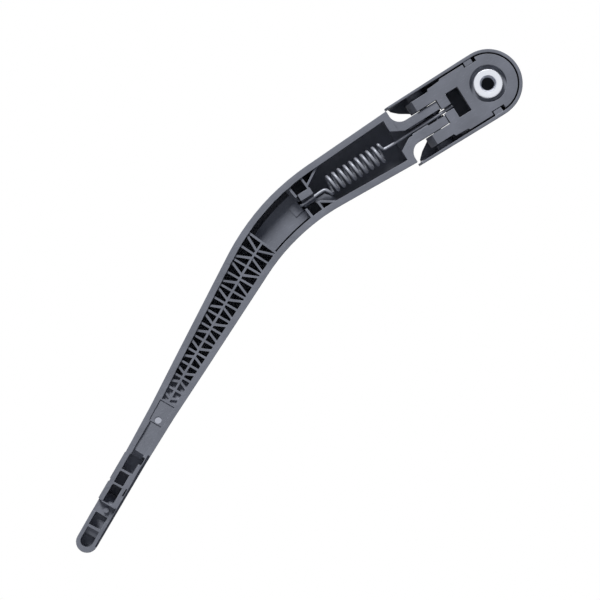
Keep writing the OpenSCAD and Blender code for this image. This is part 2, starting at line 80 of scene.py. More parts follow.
def linear(hex_colour):
    """Turns an sRGB hex colour into linear red, green and blue."""
    parts = [int(hex_colour[i:i + 2], 16) / 255 for i in (1, 3, 5)]
    return [c / 12.92 if c <= 0.04045 else ((c + 0.055) / 1.055) ** 2.4 for c in parts]


def colour_property(name, description, hex_colour):
    return bpy.props.FloatVectorProperty(
        name=name, description=description, subtype="COLOR", size=3, min=0, max=1, default=linear(hex_colour))


def length_property(name, description, default):
    return bpy.props.FloatProperty(
        name=name, description=description, subtype="DISTANCE", unit="LENGTH", min=0, default=default,
        precision=5)


class WiperFinish(bpy.types.PropertyGroup):
    nylon: colour_property("Nylon", "Colour of the moulded parts", "#6c6f77")
    nylon_flow: colour_property("Nylon flow marks", "Paler tone of the flow marks", "#777a83")
    nickel: colour_property("Nickel", "Colour of the plated insert", "#dcdfe6")
    phosphate: colour_property("Spring steel", "Colour of the spring wire", "#9a9da6")
    turned_steel: colour_property("Turned steel", "Colour of the pins", "#6f7177")
    edge: length_property("Moulded edge", "Radius of the edges of the mouldings", 0.2 * MM)
    insert_edge: length_property("Insert edge", "Radius of the edges of the insert", 0.08 * MM)
    grain: length_property("Moulded grain", "Size of the eroded grain of the mould", 0.6 * MM)


class WiperTeeth(bpy.types.PropertyGroup):
    count: bpy.props.IntProperty(
        name="Teeth", description="Fine teeth in the spindle taper", default=48, min=12, max=96)
    mouth: length_property("Mouth radius", "Radius of the taper at its mouth", 4.0 * MM)
    inner: length_property("Inner radius", "Radius of the taper at its end", 3.1 * MM)
    depth: length_property("Taper depth", "Length of the taper", 5.0 * MM)
    height: length_property("Tooth height", "Height of one tooth", 0.22 * MM)


class WiperStudio(bpy.types.PropertyGroup):
    paper: colour_property("Floor", "Colour of the floor", "#f2f2f2")
    ambient: bpy.props.FloatProperty(
        name="Ambient", description="Strength of the even light", default=0.1, min=0)
    sky: colour_property("Even light", "Colour of the even light", "#c4d4ff")
    key: bpy.props.FloatProperty(
        name="Key", description="Power of the key lamps", subtype="POWER", default=134, min=0)
    fill: bpy.props.FloatProperty(
        name="Fill", description="Power of the fill lamps", subtype="POWER", default=0.8, min=0)
    distance: length_property("Camera distance", "Distance of the camera from the glass side", 2.2)
    span: length_property("Picture width", "Width of the picture at the part", 0.276)


def add_node(tree, kind, settings=None, values=None, links=None):
    """Adds one node with its settings, its plain values and its links."""
    made = tree.nodes.new(kind)
    for name, value in (settings or {}).items():
        setattr(made, name, value)
    for name, value in (values or {}).items():
        made.inputs[name].default_value = value
    for name, socket in (links or {}).items():
        tree.links.new(socket, made.inputs[name])
    return made


def new_material(name):
    """Starts an empty material and returns it with its node tree."""
    material = bpy.data.materials.new(name)
    material.use_nodes = True
    material.node_tree.nodes.clear()
    return material, material.node_tree


def opaque(colour):
    return (*colour, 1)


def glass_filled_nylon():
    """Glass-filled nylon, injection moulded in an eroded mould.
    The eye sees a satin grey with a fine even grain, soft flow marks and short pale fibres."""
    finish = bpy.context.scene.wiper_finish
    material, tree = new_material("glass_filled_nylon")
    place = add_node(tree, "ShaderNodeTexCoord").outputs["Object"]
    flow = add_node(tree, "ShaderNodeTexNoise", None,
                    {"Scale": 1 / (16 * MM), "Detail": 2, "Distortion": 0.6}, {"Vector": place})
    soft_flow = add_node(tree, "ShaderNodeMapRange", None,
                         {"From Min": 0.35, "From Max": 0.7}, {"Value": flow.outputs["Fac"]})
    tone = add_node(tree, "ShaderNodeMix", {"data_type": "RGBA"},
                    {6: opaque(finish.nylon), 7: opaque(finish.nylon_flow)}, {0: soft_flow.outputs["Result"]})
    # fibres are 2.4 mm long here, coarser than the real 0.3 mm, so that they show
    fibre_scale = (1 / (2.4 * MM), 1 / (0.5 * MM), 1 / (0.5 * MM))
    along = add_node(tree, "ShaderNodeMapping", None,
                     {"Rotation": (0, 0, math.radians(14)), "Scale": fibre_scale}, {"Vector": place})
    fibre = add_node(tree, "ShaderNodeTexNoise", None, {"Scale": 1, "Detail": 1},
                     {"Vector": along.outputs["Vector"]})
    fibre_mask = add_node(tree, "ShaderNodeMapRange", None,
                          {"From Min": 0.6, "From Max": 0.72, "To Max": 0.2}, {"Value": fibre.outputs["Fac"]})
    fibred = add_node(tree, "ShaderNodeMix", {"data_type": "RGBA"},
                      {7: opaque(linear("#989ba4"))},
                      {0: fibre_mask.outputs["Result"], 6: tone.outputs[2]})
    grain = add_node(tree, "ShaderNodeTexNoise", None,
                     {"Scale": 1 / finish.grain, "Detail": 3}, {"Vector": place})
    dull = add_node(tree, "ShaderNodeMapRange", None,
                    {"From Min": 0.3, "From Max": 0.7, "To Min": 0.52, "To Max": 0.66},
                    {"Value": grain.outputs["Fac"]})
    relief = add_node(tree, "ShaderNodeBump", None,
                      {"Strength": 0.35, "Distance": 0.05 * MM}, {"Height": grain.outputs["Fac"]})
    from_mark = add_node(tree, "ShaderNodeVectorMath", {"operation": "DISTANCE"},
                         {1: EJECTOR_MARK}, {0: place})
    mark = add_node(tree, "ShaderNodeMath", {"operation": "LESS_THAN"}, {1: EJECTOR_MARK_R},
                    {0: from_mark.outputs["Value"]})
    # the ejector mark is painted paler, a painted highlight; its lower roughness below is the real polish
    mark_painted_highlight = add_node(tree, "ShaderNodeMix", {"data_type": "RGBA"}, {7: opaque(linear("#b4b7c0"))},
                      {0: mark.outputs[0], 6: fibred.outputs[2]})
    polished = add_node(tree, "ShaderNodeMix", None, {3: 0.2},
                        {0: mark.outputs[0], 2: dull.outputs["Result"]})
    shader = add_node(tree, "ShaderNodeBsdfPrincipled", None, {"IOR": 1.53, "Specular IOR Level": 0.25},
                      {"Base Color": mark_painted_highlight.outputs[2], "Roughness": polished.outputs[0],
                       "Normal": relief.outputs["Normal"]})
    add_node(tree, "ShaderNodeOutputMaterial", None, None, {"Surface": shader.outputs["BSDF"]})
    return material


def nickel_plated_steel():
    """Nickel-plated steel, turned on a lathe. The eye sees a near-white face with fine rings."""
    finish = bpy.context.scene.wiper_finish
    material, tree = new_material("nickel_plated_steel")
    place = add_node(tree, "ShaderNodeTexCoord").outputs["Object"]
    flat = add_node(tree, "ShaderNodeVectorMath", {"operation": "MULTIPLY"}, {1: (1, 1, 0)}, {0: place})
    radius = add_node(tree, "ShaderNodeVectorMath", {"operation": "LENGTH"}, None,
                      {0: flat.outputs["Vector"]})
    # tool marks stand 0.3 mm apart here, coarser than the real 0.1 mm, so that they show
    turns = add_node(tree, "ShaderNodeMath", {"operation": "MULTIPLY"}, {1: math.tau / (0.3 * MM)},
                     {0: radius.outputs["Value"]})
    ring = add_node(tree, "ShaderNodeMath", {"operation": "SINE"}, None, {0: turns.outputs[0]})
    patches = add_node(tree, "ShaderNodeTexNoise", None, {"Scale": 1 / (1.5 * MM), "Detail": 3},
                       {"Vector": place})
    dull = add_node(tree, "ShaderNodeMapRange", None,
                    {"From Min": 0.3, "From Max": 0.7, "To Min": 0.3, "To Max": 0.44},
                    {"Value": patches.outputs["Fac"]})
    tone = add_node(tree, "ShaderNodeMix", {"data_type": "RGBA"},
                    {6: opaque(finish.nickel), 7: opaque(linear("#cdd0d8"))}, {0: patches.outputs["Fac"]})
    relief = add_node(tree, "ShaderNodeBump", None, {"Strength": 0.12, "Distance": 0.01 * MM},
                      {"Height": ring.outputs[0]})
    # the broached teeth of the taper, out to its mouth of 4 mm radius, stay duller than the turned face
    taper = add_node(tree, "ShaderNodeMath", {"operation": "LESS_THAN"}, {1: 4.02 * MM},
                     {0: radius.outputs["Value"]})
    metal = add_node(tree, "ShaderNodeMix", None, {2: 1, 3: 0.2}, {0: taper.outputs[0]})
    rough = add_node(tree, "ShaderNodeMix", None, {3: 0.6}, {0: taper.outputs[0], 2: dull.outputs["Result"]})
    shader = add_node(tree, "ShaderNodeBsdfPrincipled", None, None,
                      {"Base Color": tone.outputs[2], "Metallic": metal.outputs[0],
                       "Roughness": rough.outputs[0], "Normal": relief.outputs["Normal"]})
    add_node(tree, "ShaderNodeOutputMaterial", None, None, {"Surface": shader.outputs["BSDF"]})
    return material


def phosphated_spring_steel():
    """Drawn spring steel with a phosphate coat.
    The eye sees a dull grey wire with a mottled coat and a soft shine."""
    finish = bpy.context.scene.wiper_finish
    material, tree = new_material("phosphated_spring_steel")
    place = add_node(tree, "ShaderNodeTexCoord").outputs["Object"]
    coat = add_node(tree, "ShaderNodeTexNoise", None, {"Scale": 1 / (0.9 * MM), "Detail": 4},
                    {"Vector": place})
    tone = add_node(tree, "ShaderNodeMix", {"data_type": "RGBA"},
                    {6: opaque(finish.phosphate), 7: opaque(linear("#84878f"))}, {0: coat.outputs["Fac"]})
    dull = add_node(tree, "ShaderNodeMapRange", None,
                    {"From Min": 0.3, "From Max": 0.7, "To Min": 0.4, "To Max": 0.54},
                    {"Value": coat.outputs["Fac"]})
    relief = add_node(tree, "ShaderNodeBump", None, {"Strength": 0.2, "Distance": 0.02 * MM},
                      {"Height": coat.outputs["Fac"]})
    shader = add_node(tree, "ShaderNodeBsdfPrincipled", None, {"Metallic": 0.3},
                      {"Base Color": tone.outputs[2], "Roughness": dull.outputs["Result"],
                       "Normal": relief.outputs["Normal"]})
    add_node(tree, "ShaderNodeOutputMaterial", None, None, {"Surface": shader.outputs["BSDF"]})
    return material


def ground_pin_steel():
    """Ground steel pin. The eye sees a bright pin with faint bands across it."""
    finish = bpy.context.scene.wiper_finish
    material, tree = new_material("ground_pin_steel")
    place = add_node(tree, "ShaderNodeTexCoord").outputs["Object"]
    # grinding bands run round the pin, about 1.6 mm apart along its Y axis
    bands = add_node(tree, "ShaderNodeTexWave", {"bands_direction": "Y"},
                     {"Scale": 1 / (20 * 0.25 * MM), "Distortion": 2, "Detail": 2}, {"Vector": place})
    tone = add_node(tree, "ShaderNodeMix", {"data_type": "RGBA"},
                    {6: opaque(finish.turned_steel), 7: opaque(linear("#5f6167"))}, {0: bands.outputs["Fac"]})
    dull = add_node(tree, "ShaderNodeMapRange", None, {"To Min": 0.42, "To Max": 0.52},
                    {"Value": bands.outputs["Fac"]})
    relief = add_node(tree, "ShaderNodeBump", None, {"Strength": 0.1, "Distance": 0.01 * MM},
                      {"Height": bands.outputs["Fac"]})
    shader = add_node(tree, "ShaderNodeBsdfPrincipled", None, {"Metallic": 1},
                      {"Base Color": tone.outputs[2], "Roughness": dull.outputs["Result"],
                       "Normal": relief.outputs["Normal"]})
    add_node(tree, "ShaderNodeOutputMaterial", None, None, {"Surface": shader.outputs["BSDF"]})
    return material


def once(make):
    """Returns the material that a function is named for, and makes it the first time."""
    return bpy.data.materials.get(make.__name__) or make()


def only(piece):
    """Makes one piece the selected and active one."""
    bpy.ops.object.select_all(action="DESELECT")
    piece.select_set(True)
    bpy.context.view_layer.objects.active = piece


def apply_modifier(piece, kind, **settings):
    """Adds one modifier with its settings and applies it."""
    only(piece)
    made = piece.modifiers.new(kind.lower(), kind)
    for name, value in settings.items():
        setattr(made, name, value)
    bpy.ops.object.modifier_apply(modifier=made.name)


def merged_copy(node, name):
    """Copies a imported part, merges its loose triangles and joins them into flat faces."""
    piece = bpy.data.objects.new(name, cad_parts[node].data.copy())
    bpy.context.scene.collection.objects.link(piece)
    only(piece)
    bpy.ops.mesh.customdata_custom_splitnormals_clear()
    bpy.ops.object.mode_set(mode="EDIT")
    bpy.ops.mesh.select_all(action="SELECT")
    bpy.ops.mesh.remove_doubles(threshold=0.001 * MM)
    bpy.ops.mesh.dissolve_limited(angle_limit=math.radians(0.01))
    bpy.ops.object.mode_set(mode="OBJECT")
    return piece


def round_edges(piece, radius):
    """Rounds the sharp edges of a moulding and shades its curves smooth."""
    mesh = bmesh.new()
    mesh.from_mesh(piece.data)
    # an edge with no room for the rounding stays sharp, or its corner would shoot out as a spike
    crowded = {point for edge in mesh.edges if edge.calc_length() < 2.5 * radius for point in edge.verts}
    weight = mesh.edges.layers.float.new("bevel_weight_edge")
    for edge in mesh.edges:
        sharp = edge.is_manifold and edge.calc_face_angle() > math.radians(32)
        edge[weight] = 1 if sharp and crowded.isdisjoint(edge.verts) else 0
    mesh.to_mesh(piece.data)
    mesh.free()
    apply_modifier(piece, "BEVEL", limit_method="WEIGHT", width=radius, segments=2, use_clamp_overlap=False)
    only(piece)
    bpy.ops.object.shade_smooth_by_angle(angle=math.radians(40))
    apply_modifier(piece, "WEIGHTED_NORMAL", mode="FACE_AREA", weight=50, keep_sharp=True)


def dress(piece, material, slot, body, *nodes):
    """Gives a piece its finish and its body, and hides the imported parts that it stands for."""
    piece.data.materials.clear()
    piece.data.materials.append(material)
    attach(piece, body)
    if nodes:
        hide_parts(*nodes)


# Middle line of the arm in plan, in millimetres: straight, bend, straight
ARM_START = Vector((46.6, 0.3))
FRONT_LEN = 41.8
BEND_R = 105
BEND_ANGLE = math.radians(27.9)
LOWER_S = FRONT_LEN + BEND_R * BEND_ANGLE
TIP_S = LOWER_S + 147.3
BEND_CENTRE = ARM_START + Vector((FRONT_LEN, -BEND_R))

# Half width of the arm along its middle line
HALF_WIDTHS = (
    (0, 13.8), (FRONT_LEN, 12), (67.4, 11.3), (LOWER_S, 10.3),
    (146.4, 7.5), (171.4, 6.1), (195.4, 5.4), (TIP_S, 5.1),
)

# Heights and walls: the underside falls by TIP_DROP from DROP_S on
ARM_TOP_Z = 17.1
TIP_DROP = 8
TIP_H = 6.8
DROP_S = 40
ARM_WALL = 3.1
ROOF_T = 1.6

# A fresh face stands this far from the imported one, so that no two faces share a plane
SKIM = 0.05

# What is joined to a wall or to the roof reaches this far into it, and stays under the crowned skin
INTO_WALL = 0.6
INTO_ROOF = 0.1

# Hinge axis and the round tongue on the neck
HINGE_X = 31.1
HINGE_Z = 8.5
TONGUE_R = 6.4
TONGUE_SKIN = 0.15
NECK_LOW_Z = 1.1
NECK_HIGH_Z = HINGE_Z + 3.7

# Cheeks in the neck's spring slot: X rows and half the gap between them, before and behind the pins
SLOT_CHEEKS = (
    ((HINGE_X - TONGUE_R + TONGUE_SKIN, 25.5, 26.5, 27.6, HINGE_X - 2.4), 0.95),
    ((HINGE_X + 2.4, 42), 1.25),
)
CHEEK_OUT = 2.4

# Gusset before the bridge and low block behind it, as rows of X, low Y and high Y
GUSSET = ((87.6, -8.4, -6.6), (90.6, -8.4, -2.9), (95.2, -6, -2.9))
GUSSET_Z = 7
MIDDLE_BLOCK = ((103.4, -3.4, 2.2), (108.2, -3.4, 2.2))
MIDDLE_BLOCK_RECESS = 6.1

# Webs beside the hook: from and to along the middle line, and the side and inner edge of each
WEB_S = (55.3, 57.5)
WEB_EDGES = ((1, 0.6), (-1, -4.2))
WEB_RECESS = 6.45

# Channels along the walls of the middle floor
CHANNEL_S = 57
CHANNEL_STEPS = 6
WIDE_CHANNEL = 2.6
NARROW_CHANNEL = 0.75

# Rib lattice along the middle line
RIB_T = 1.1
BAY_LEN = 6.55
BAY_N = 13
LATTICE_END_S = TIP_S - 73.8
LATTICE_S = LATTICE_END_S - BAY_N * BAY_LEN
RIB_RECESS = 0.8

# Diagonals: gap from their cross rib, way along for each millimetre beside, and where they leave the long rib
STAR_GAP = 2.1
STAR_SLOPE = 0.41
STAR_ROOT_N = 0.3

# Floor of the last two bays: depth at its start, and how far it comes nearer to the rim
BAY_FLOOR_DEPTH = 3.4
BAY_FLOOR_RISE = 1.8

# Blade end, measured from its own zero at BLADE_S along the middle line
BLADE_S = 166.33
DEEP = 20
FILL_INSET = 1.6
FILL_STEPS = 16
FILL_TOP_GAP = 1
FLOOR_END = 11.4
FLOOR_INSET = 2.55
FLOOR_DEPTHS = (0.5, 0.4)

# Each pocket has from, to, low side, high side, and the depth of its floor at the two ends
BLADE_POCKETS = (
    (11.35, 27.5, -2.9, 2.9, 0.8, 0.8),
    (26.5, 29.5, -2.55, 2.8, 0.8, 4.5),
    (29, 36.9, -2.55, 3.2, DEEP, DEEP),
    (27.5, 31.5, -3.9, -2.5, DEEP, DEEP),
    (37.9, 43.9, -1.55, 3.2, DEEP, DEEP),
    (44.8, 49.2, -1.65, 3.2, DEEP, DEEP),
    (49, 54, -1.65, 3.2, DEEP, 2.5),
    (44, 47.7, -3.95, -3.35, 4, 4),
    (59.9, 66.3, -2.6, 3.5, DEEP, DEEP),
    (59.9, 61.8, -4.05, -2.5, 2.6, 2.6),
    (67.5, 70.8, -2.6, 3.3, 0.9, 2.2),
    (25.5, 74, -8, -4.25, 1.6, 1.6),
)

# End pocket: from, low side and high side
END_POCKET = (70.6, -2.6, 3.3)

# Round end of that pocket, and dent of the ejector pin: along, beside and radius
END_POCKET_ROUND = (73.5, 0.3, 3)
EJECTOR_DENT = (9.4, -0.15, 1.65)
EJECTOR_DENT_DEPTH = 0.7

# Flanges beside the pockets: from and to along, and from and to beside
FLANGES = ((29.5, 43.4), (44.8, 53.8))
FLANGE_N = (4, 5.65)
FLANGE_DEPTH = 2.4

# Seat for the blade clip, from, to, low side and high side, and its round boss, along, beside and radius
SEAT = (54.5, 60, -4.05, 7)
SEAT_DEPTH = 2.6
BOSS = (57.1, -0.3, 1.2)
BOSS_DEPTH = 1.6
BOSS_ROOT = 3


def lookup(table, s):
    """Reads a table of places and values with straight lines between them."""
    for (s1, v1), (s2, v2) in zip(table, table[1:]):
        if s <= s2:
            return v1 + (v2 - v1) * (s - s1) / (s2 - s1)
    return table[-1][1]


def ease(t):
    return (1 - math.cos(math.pi * min(max(t, 0), 1))) / 2


def half_width(s):
    return lookup(HALF_WIDTHS, s)


def inside(s):
    """Distance from the middle line to the inner face of the wall."""
    return half_width(s) - ARM_WALL


def on_arm(s, n):
    """Gives the plan point at a distance along the middle line and a distance beside it."""
    turn = min(max((s - FRONT_LEN) / BEND_R, 0), BEND_ANGLE)
    beside = Vector((math.sin(turn), math.cos(turn)))
    if s < FRONT_LEN:
        return ARM_START + Vector((s, n))
    ahead = max(s - LOWER_S, 0) * Vector((math.cos(turn), -math.sin(turn)))
    return BEND_CENTRE + (BEND_R + n) * beside + ahead


def place_along(x):
    """Gives the distance along the middle line at an X coordinate."""
    bend_end = BEND_CENTRE.x + BEND_R * math.sin(BEND_ANGLE)
    if x < BEND_CENTRE.x:
        return x - ARM_START.x
    if x > bend_end:
        return LOWER_S + (x - bend_end) / math.cos(BEND_ANGLE)
    return FRONT_LEN + BEND_R * math.asin((x - BEND_CENTRE.x) / BEND_R)


def under_z(s):
    return -TIP_DROP * ease((s - DROP_S) / (TIP_S - DROP_S))


def top_z(s):
    return ARM_TOP_Z - (ARM_TOP_Z + TIP_DROP - TIP_H) * ease(s / (TIP_S + HALF_WIDTHS[-1][1]))


def rim(depth):
    """Height above the rim of the arm, square to its middle line."""
    return lambda s, n: under_z(s) + depth


def level_rim(depth):
    """Height above the rim of the arm, level across the part."""
    return lambda s, n: under_z(place_along(on_arm(s, n).x)) + depth


def roof(extra):
    """Height of the inside of the roof, level across the part."""
    return lambda s, n: top_z(place_along(on_arm(s, n).x)) - ROOF_T + extra


def pocket_floor(s1, s2, depth_1, depth_2):
    """Height of the floor of a pocket, which may slope and stops at the roof."""
    def height(s, n):
        sloped = under_z(s) + depth_1 + (depth_2 - depth_1) * (s - s1) / (s2 - s1)
        return min(sloped, top_z(s) - ROOF_T)
    return height


BELOW = rim(-3)


def box_pairs(s1, s2, n1, n2):
    return [((s1, n1), (s1, n2)), ((s2, n1), (s2, n2))]


def rib_pairs(start, end, t):
    """Gives the corners of one straight rib between two plan points."""
    along = Vector(end) - Vector(start)
    side = Vector((-along.y, along.x)).normalized() * t / 2
    return [(Vector(start) - side, Vector(start) + side), (Vector(end) - side, Vector(end) + side)]


def round_pairs(s, n, r, first=-80):
    """Gives the corners of a round plan as pairs of points, one pair for each 10 degrees."""
    turns = [math.radians(a) for a in range(first, 81, 10)]
    reach = [(s + r * math.sin(a), r * math.cos(a)) for a in turns]
    return [((ahead, n - beside), (ahead, n + beside)) for ahead, beside in reach]


def add_block(mesh, pairs, low, high):
    """Adds one closed upright block over pairs of plan points."""
    rings = []
    for first, second in pairs:
        corners = ((first, low), (second, low), (second, high), (first, high))
        points = [Vector((*on_arm(*place), height(*place))) * MM for place, height in corners]
        rings.append([mesh.verts.new(point) for point in points])
    mesh.faces.new(rings[0])
    mesh.faces.new(reversed(rings[-1]))
    for ring, following in zip(rings, rings[1:]):
        for j in range(4):
            mesh.faces.new((ring[j], following[j], following[(j + 1) % 4], ring[(j + 1) % 4]))


def combine(piece, operation, blocks):
    """Joins blocks to a piece or cuts them out of it."""
    mesh = bmesh.new()
    for pairs, low, high in blocks:
        add_block(mesh, pairs, low, high)
    bmesh.ops.recalc_face_normals(mesh, faces=mesh.faces)
    data = bpy.data.meshes.new("blocks")
    mesh.to_mesh(data)
    mesh.free()
    tool = bpy.data.objects.new("blocks", data)
    bpy.context.scene.collection.objects.link(tool)
    # use_self stays on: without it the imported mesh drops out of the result
    apply_modifier(piece, "BOOLEAN", operation=operation, solver="EXACT", use_self=True, object=tool)
    bpy.data.objects.remove(tool)


def check_extent(piece, node):
    """Stops the script if a piece is more than 0.1 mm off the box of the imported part."""
    low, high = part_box(node)
    for axis in range(3):
        reach = [point.co[axis] for point in piece.data.vertices]
        if max(abs(min(reach) - low[axis]), abs(max(reach) - high[axis])) > 0.1 * MM:
            raise RuntimeError("the blocks changed the extent of " + node)


def lattice_cells():
    """Gives the open cells between the cross ribs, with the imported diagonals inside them."""
    for k in range(BAY_N):
        s1 = LATTICE_S + k * BAY_LEN + RIB_T / 2 - SKIM
        s2 = s1 + BAY_LEN - RIB_T + 2 * SKIM
        for side in (-1, 1):
            pairs = [((s, side * (RIB_T / 2 - SKIM)), (s, side * (inside(s) + SKIM))) for s in (s1, s2)]
            yield pairs, BELOW, roof(SKIM)


def star_ribs():
    """Gives the diagonals of the lattice, which leave the long rib beside each second cross rib."""
    for k in range(1, BAY_N + 1, 2):
        for way in (-1, 1):
            root = LATTICE_S + k * BAY_LEN + way * STAR_GAP
            if root > LATTICE_END_S:
                continue
            reach = inside(root) + INTO_WALL
            for side in (-1, 1):
                start, end = (root, side * STAR_ROOT_N), (root + way * STAR_SLOPE * reach, side * reach)
                yield rib_pairs(start, end, RIB_T), level_rim(RIB_RECESS + SKIM), roof(INTO_ROOF)


def spaced(s1, s2, steps):
    return [s1 + (s2 - s1) * i / steps for i in range(steps + 1)]


def lattice_floor():
    """Gives the raised floor under the last two bays, which rises towards the blade end."""
    s1, s2 = LATTICE_S + (BAY_N - 2) * BAY_LEN, LATTICE_END_S
    pairs = [((s, -inside(s) - INTO_WALL), (s, inside(s) + INTO_WALL)) for s in (s1, s2)]

    def height(s, n):
        return under_z(s) + BAY_FLOOR_DEPTH - BAY_FLOOR_RISE * (s - s1) / (s2 - s1)
    return pairs, height, roof(INTO_ROOF)


def plan_pairs(rows):
    """Turns rows of X, low Y and high Y into pairs of places.
    Past the straight front of the arm they come to lie a little off."""
    x0, y0 = ARM_START
    return [((x - x0, low - y0), (x - x0, high - y0)) for x, low, high in rows]


def chamber_forms():
    """Gives the gusset below the spring end, and the webs that close the chamber beside the hook."""
    yield plan_pairs(GUSSET), lambda s, n: GUSSET_Z, roof(INTO_ROOF)
    for side, edge in WEB_EDGES:
        reach = [(s, side * (inside(s) + INTO_WALL)) for s in WEB_S]
        pairs = [((s, min(edge, wall)), (s, max(edge, wall))) for s, wall in reach]
        yield pairs, level_rim(WEB_RECESS), roof(INTO_ROOF)


def slot_cheeks():
    """Gives the cheeks that narrow the spring slot of the neck, before and behind the hinge pins."""
    for x_rows, inner in SLOT_CHEEKS:
        for low, high in ((-CHEEK_OUT, -inner), (inner, CHEEK_OUT)):
            yield plan_pairs([(x, low, high) for x in x_rows]), tongue_edge(-1), tongue_edge(1)


def tongue_edge(way):
    """Height just inside the round tongue of the neck, below or above the hinge."""
    def height(s, n):
        ahead = max(HINGE_X - on_arm(s, n).x, 0)
        reach = math.sqrt(max(TONGUE_R ** 2 - ahead ** 2, 0)) - TONGUE_SKIN
        return max(HINGE_Z - reach, NECK_LOW_Z) if way < 0 else min(HINGE_Z + reach, NECK_HIGH_Z)
    return height


def middle_block():
    """Gives the low block on the middle floor behind the bridge."""
    return plan_pairs(MIDDLE_BLOCK), level_rim(MIDDLE_BLOCK_RECESS), roof(INTO_ROOF)


def blade_filling():
    """Gives one block that fills the blade end up to just below its rim."""
    along = spaced(LATTICE_END_S, TIP_S, FILL_STEPS)
    pairs = [((s, FILL_INSET - half_width(s)), (s, half_width(s) - FILL_INSET)) for s in along]
    pairs += round_pairs(TIP_S, 0, half_width(TIP_S) - FILL_INSET, 10)
    return pairs, rim(SKIM), lambda s, n: top_z(s) - FILL_TOP_GAP


def blade_cuts():
    """Gives the floors and pockets of the blade end."""
    floor_s = (LATTICE_END_S + RIB_T / 2 - SKIM, BLADE_S + FLOOR_END)
    floor = [((s, FLOOR_INSET - half_width(s)), (s, half_width(s) - FLOOR_INSET)) for s in floor_s]
    yield floor, BELOW, pocket_floor(BLADE_S, BLADE_S + FLOOR_END, *FLOOR_DEPTHS)
    for start, end, low, high, depth_1, depth_2 in BLADE_POCKETS:
        s1, s2 = BLADE_S + start, BLADE_S + end
        yield box_pairs(s1, s2, low, high), BELOW, pocket_floor(s1, s2, depth_1, depth_2)
    start, low, high = END_POCKET
    end_s, end_n, end_r = END_POCKET_ROUND
    end_pocket = [((BLADE_S + start, low), (BLADE_S + start, high))]
    end_pocket += round_pairs(BLADE_S + end_s, end_n, end_r, 0)
    yield end_pocket, BELOW, lambda s, n: top_z(s) - ROOF_T
    dent_s, dent_n, dent_r = EJECTOR_DENT
    yield round_pairs(BLADE_S + dent_s, dent_n, dent_r), BELOW, rim(EJECTOR_DENT_DEPTH)


def blade_seat():
    """Gives the seat for the blade clip."""
    start, end, low, high = SEAT
    return box_pairs(BLADE_S + start, BLADE_S + end, low, high), BELOW, level_rim(SEAT_DEPTH + SKIM)


def blade_details():
    """Gives the small round boss in the seat and the flanges beside the pockets."""
    boss_s, boss_n, boss_r = BOSS
    yield round_pairs(BLADE_S + boss_s, boss_n, boss_r), rim(BOSS_DEPTH), rim(BOSS_ROOT)
    for start, end in FLANGES:
        yield box_pairs(BLADE_S + start, BLADE_S + end, *FLANGE_N), rim(SKIM), rim(FLANGE_DEPTH)


def middle_channels():
    """Gives the deep channels along both walls of the middle floor."""
    reach = [(s, inside(s)) for s in spaced(CHANNEL_S, LATTICE_S - RIB_T / 2 + SKIM, CHANNEL_STEPS)]
    yield [((s, wall - WIDE_CHANNEL), (s, wall + SKIM)) for s, wall in reach], BELOW, roof(0)
    yield [((s, -wall - SKIM), (s, NARROW_CHANNEL - wall)) for s, wall in reach], BELOW, roof(0)


class WIPER_OT_arm(bpy.types.Operator):
    """Gives the arm moulding its fine forms and dresses it in glass-filled nylon with rounded edges"""
    bl_idname = "wiper.arm"
    bl_label = "Arm moulding"

    def execute(self, context):
        piece = merged_copy("arm_body", "arm_moulding")
        combine(piece, "DIFFERENCE", lattice_cells())
        combine(piece, "UNION", star_ribs())
        combine(piece, "UNION", [blade_filling()])
        combine(piece, "DIFFERENCE", blade_cuts())
        combine(piece, "DIFFERENCE", [blade_seat()])
        combine(piece, "UNION", blade_details())
        combine(piece, "DIFFERENCE", middle_channels())
        combine(piece, "UNION", [*chamber_forms(), *slot_cheeks(), middle_block(), lattice_floor()])
        check_extent(piece, "arm_body")
        round_edges(piece, context.scene.wiper_finish.edge)
        dress(piece, once(glass_filled_nylon), "arm_plastic", "arm", "arm_body")
        return {"FINISHED"}


class WIPER_OT_head(bpy.types.Operator):
    """Dresses the mounting head in glass-filled nylon with rounded edges"""
    bl_idname = "wiper.head"
    bl_label = "Mounting head"

    def execute(self, context):
        piece = merged_copy("mounting_head", "head_moulding")
        round_edges(piece, context.scene.wiper_finish.edge)
        dress(piece, once(glass_filled_nylon), "arm_plastic", "head", "mounting_head")
        return {"FINISHED"}


class WIPER_OT_cover(bpy.types.Operator):
    """Dresses the hinged cover in glass-filled nylon with rounded edges"""
    bl_idname = "wiper.cover"
    bl_label = "Hinged cover"

    def execute(self, context):
        piece = merged_copy("cap_cover", "cover_moulding")
        round_edges(piece, context.scene.wiper_finish.edge)
        dress(piece, once(glass_filled_nylon), "arm_plastic", "cover", "cap_cover")
        return {"FINISHED"}


class WIPER_OT_insert(bpy.types.Operator):
    """Dresses the knurled insert in nickel-plated steel"""
    bl_idname = "wiper.insert"
    bl_label = "Knurled insert"

    def execute(self, context):
        piece = merged_copy("spline_insert", "knurled_insert")
        round_edges(piece, context.scene.wiper_finish.insert_edge)
        dress(piece, once(nickel_plated_steel), "insert_metal", "head", "spline_insert")
        return {"FINISHED"}


class WIPER_OT_spring(bpy.types.Operator):
    """Smooths the spring wire and dresses it in phosphated steel"""
    bl_idname = "wiper.spring"
    bl_label = "Tension spring"

    def execute(self, context):
        piece = merged_copy("tension_spring", "spring_wire")
        apply_modifier(piece, "SUBSURF", levels=1, render_levels=1)
        only(piece)
        bpy.ops.object.shade_smooth_by_angle(angle=math.radians(50))
        dress(piece, once(phosphated_spring_steel), "spring_steel", "spring", "tension_spring")
        return {"FINISHED"}


